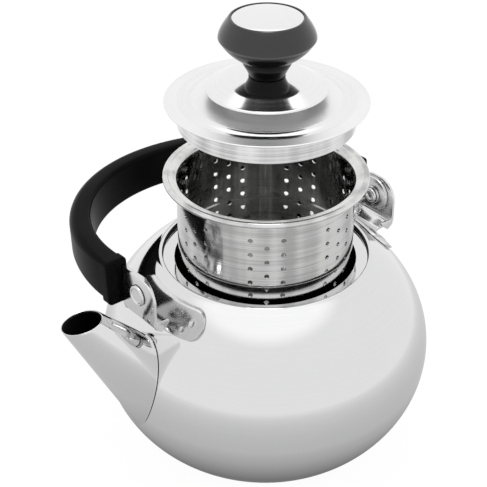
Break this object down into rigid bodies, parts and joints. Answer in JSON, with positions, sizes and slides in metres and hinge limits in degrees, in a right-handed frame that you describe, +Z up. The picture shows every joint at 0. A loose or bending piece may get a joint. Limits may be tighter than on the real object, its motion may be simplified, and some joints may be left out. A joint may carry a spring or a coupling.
{
  "type": "teapot with infuser basket",
  "caption": "Round steel stovetop teapot with straight spout, lift-out perforated infuser basket, knobbed lid and folding arched handle.",
  "frame": {"origin": "middle of the base disc's underside, on the surface that the pot stands on", "axes": "+Z up; the spout points along -X; the handle's pivot axis is along X and the handle folds back towards +Y"},
  "size_m": [0.2184, 0.2065, 0.2531],
  "materials": {
    "mirror_steel": "mirror polished stainless steel",
    "brushed_steel": "horizontally brushed stainless steel",
    "black_bakelite": "satin moulded bakelite",
    "gloss_black": "glossy moulded bakelite",
    "brass": "turned brass"
  },
  "bodies": {
    "pot": {"body_shell": "mirror_steel", "base_disc": "mirror_steel", "spout": "mirror_steel", "front_bracket": "mirror_steel", "rear_bracket": "mirror_steel", "front_pivot_rivet": "mirror_steel", "rear_pivot_rivet": "mirror_steel"},
    "handle": {"handle_grip": "black_bakelite", "front_tang": "brushed_steel", "rear_tang": "brushed_steel", "front_pivot_washer": "mirror_steel", "rear_pivot_washer": "mirror_steel"},
    "infuser": {"basket_wall": "brushed_steel", "basket_bottom": "brushed_steel"},
    "lid": {"lid_plate": "mirror_steel", "lid_skirt": "mirror_steel", "knob_rosette": "mirror_steel", "knob": "gloss_black", "knob_cap": "mirror_steel", "knob_insert": "brass", "knob_screw": "mirror_steel", "lid_washer": "mirror_steel"}
  },
  "joints": [
    {"name": "infuser_lift", "type": "slide", "parent": "pot", "child": "infuser", "axis": [0, 0, 1], "range_m": [-0.0469, 0]},
    {"name": "lid_lift", "type": "slide", "parent": "infuser", "child": "lid", "axis": [0, 0, 1], "range_m": [-0.0405, 0]},
    {"name": "handle_fold", "type": "hinge", "parent": "pot", "child": "handle", "pos_m": [0, 0, 0.1244], "axis": [1, 0, 0], "range_deg": [0, 94]}
  ],
  "couplings": [
    {"joint": "handle_fold", "follows": "infuser_lift", "rad_per_m": -34.981}
  ]
}
